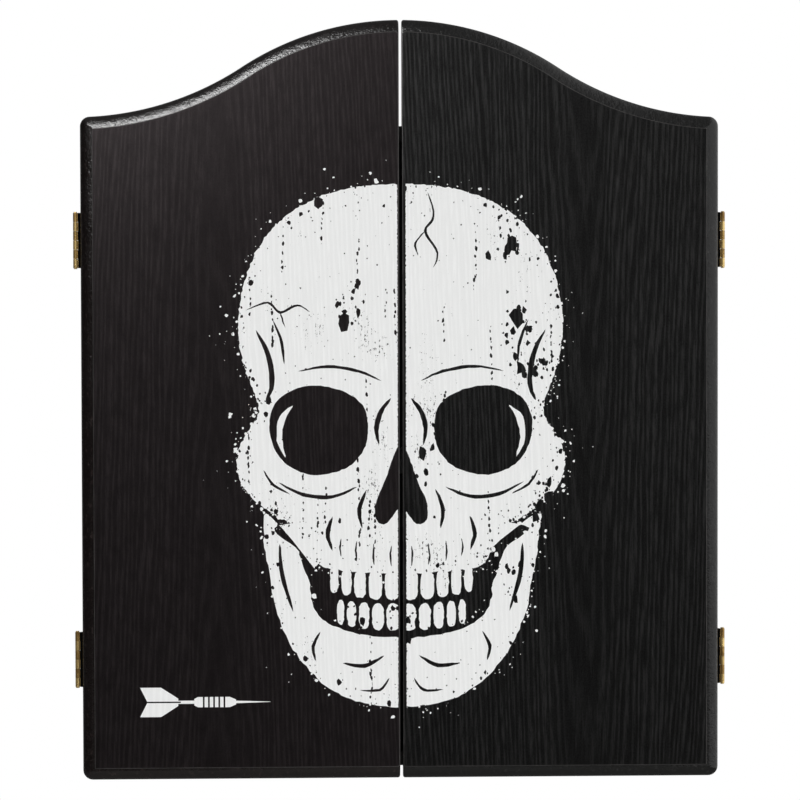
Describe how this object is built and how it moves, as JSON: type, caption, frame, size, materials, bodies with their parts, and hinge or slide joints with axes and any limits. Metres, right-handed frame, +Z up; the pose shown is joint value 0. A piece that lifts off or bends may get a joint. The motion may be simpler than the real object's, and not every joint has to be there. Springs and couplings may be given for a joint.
{
  "type": "dart board cabinet",
  "caption": "Shallow wall cabinet for a dart board: two arched black doors swing on brass butt hinges over a bay with a bracket, with scoreboards and dart racks inside the doors.",
  "frame": {"origin": "middle of the case's rear face, on the wall, level with the centre of the dart board that hangs inside", "axes": "+Z up, +Y into the wall, +X to the right for someone who faces the cabinet; the doors face -Y"},
  "size_m": [0.5328, 0.0897, 0.6188],
  "materials": {
    "veneer": "black ash-grain foil, satin",
    "paint": "black satin paint",
    "lining": "black matt board",
    "writing": "matt writing surface",
    "plastic": "moulded, fine texture",
    "brass": "brass-plated, satin",
    "steel": "zinc-plated",
    "ferrite": "sintered, matt",
    "ink": "white screen print, matt"
  },
  "bodies": {
    "case": {"back_panel": "lining", "board_bracket": "steel", "top_rail": "paint", "bottom_rail": "paint", "left_side_rail": "paint", "left_bracket_screw": "steel", "left_catch_housing": "plastic", "left_catch_magnet": "ferrite", "left_catch_inner_screw": "steel", "left_catch_outer_screw": "steel", "left_hinge_case_screw_1": "brass", "left_hinge_case_screw_2": "brass", "left_hinge_case_screw_3": "brass", "left_hinge_case_screw_4": "brass", "left_catch_upper_pole": "steel", "left_upper_hinge_case_leaf": "brass", "left_upper_hinge_pin": "brass", "left_catch_lower_pole": "steel", "left_lower_hinge_case_leaf": "brass", "left_lower_hinge_pin": "brass", "right_side_rail": "paint", "right_bracket_screw": "steel", "right_catch_housing": "plastic", "right_catch_magnet": "ferrite", "right_catch_inner_screw": "steel", "right_catch_outer_screw": "steel", "right_hinge_case_screw_1": "brass", "right_hinge_case_screw_2": "brass", "right_hinge_case_screw_3": "brass", "right_hinge_case_screw_4": "brass", "right_catch_upper_pole": "steel", "right_upper_hinge_case_leaf": "brass", "right_upper_hinge_pin": "brass", "right_catch_lower_pole": "steel", "right_lower_hinge_case_leaf": "brass", "right_lower_hinge_pin": "brass"},
    "left_door": {"left_hinge_door_screw_1": "brass", "left_hinge_door_screw_2": "brass", "left_hinge_door_screw_3": "brass", "left_hinge_door_screw_4": "brass", "left_upper_hinge_door_leaf": "brass", "left_lower_hinge_door_leaf": "brass", "left_door_panel": "veneer", "left_scoreboard": "writing", "left_dart_rack": "plastic", "left_strike_plate": "steel", "left_strike_screw": "steel"},
    "right_door": {"right_hinge_door_screw_1": "brass", "right_hinge_door_screw_2": "brass", "right_hinge_door_screw_3": "brass", "right_hinge_door_screw_4": "brass", "right_upper_hinge_door_leaf": "brass", "right_lower_hinge_door_leaf": "brass", "right_door_panel": "veneer", "right_scoreboard": "writing", "right_dart_rack": "plastic", "right_strike_plate": "steel", "right_strike_screw": "steel"}
  },
  "joints": [
    {"name": "left_door_hinge", "type": "hinge", "parent": "case", "child": "left_door", "pos_m": [-0.2645, -0.07635, 0], "axis": [0, 0, -1], "range_deg": [0, 180]},
    {"name": "right_door_hinge", "type": "hinge", "parent": "case", "child": "right_door", "pos_m": [0.2645, -0.07635, 0], "axis": [0, 0, 1], "range_deg": [0, 180]}
  ]
}
